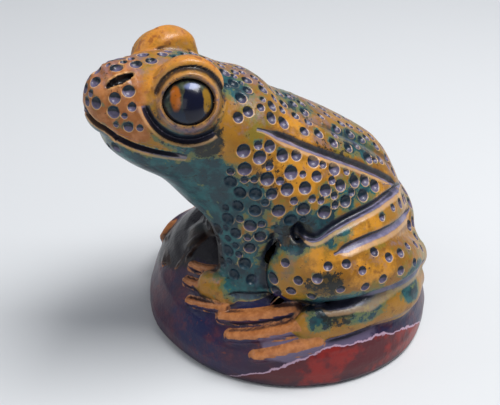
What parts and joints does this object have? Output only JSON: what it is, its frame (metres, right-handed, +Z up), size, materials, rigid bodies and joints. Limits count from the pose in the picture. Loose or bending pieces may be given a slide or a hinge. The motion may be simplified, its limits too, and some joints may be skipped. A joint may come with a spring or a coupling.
{
  "type": "ceramic frog figurine",
  "caption": "Hand-built glazed clay frog seated on a hollow domed base, with poked pits over its skin and carved grooves between its limbs.",
  "frame": {"origin": "middle of the object's bounding box, on the surface it stands on", "axes": "+Z up, -Y the way the nose points, +X the frog's own left side"},
  "size_m": [0.086, 0.102, 0.0893],
  "materials": {
    "skin_glaze": "glossy ochre over teal glaze, poked with round pits",
    "throat_glaze": "smooth glossy sea-green glaze",
    "eye_glaze": "very glossy painted iris and pupil",
    "digit_glaze": "satin sandy-orange glaze on raised ridges",
    "mound_glaze": "glossy mottled aubergine to navy glaze with rust red patches"
  },
  "bodies": {
    "root": {"base_wall": "mound_glaze", "base_crown": "mound_glaze", "trunk_shell": "skin_glaze", "head": "skin_glaze", "lower_jaw": "throat_glaze", "eyeball_left": "eye_glaze", "upper_lid_left": "skin_glaze", "lower_lid_left": "skin_glaze", "foreleg_left": "skin_glaze", "palm_left": "skin_glaze", "finger_left_1": "digit_glaze", "finger_left_2": "digit_glaze", "finger_left_3": "digit_glaze", "shank_left": "skin_glaze", "thigh_left": "skin_glaze", "foot_left": "skin_glaze", "toe_left_1": "digit_glaze", "toe_left_2": "digit_glaze", "toe_left_3": "digit_glaze", "eyeball_right": "eye_glaze", "upper_lid_right": "skin_glaze", "lower_lid_right": "skin_glaze", "foreleg_right": "skin_glaze", "palm_right": "skin_glaze", "finger_right_1": "digit_glaze", "finger_right_2": "digit_glaze", "finger_right_3": "digit_glaze", "shank_right": "skin_glaze", "thigh_right": "skin_glaze", "foot_right": "skin_glaze", "toe_right_1": "digit_glaze", "toe_right_2": "digit_glaze", "toe_right_3": "digit_glaze"}
  },
  "joints": []
}
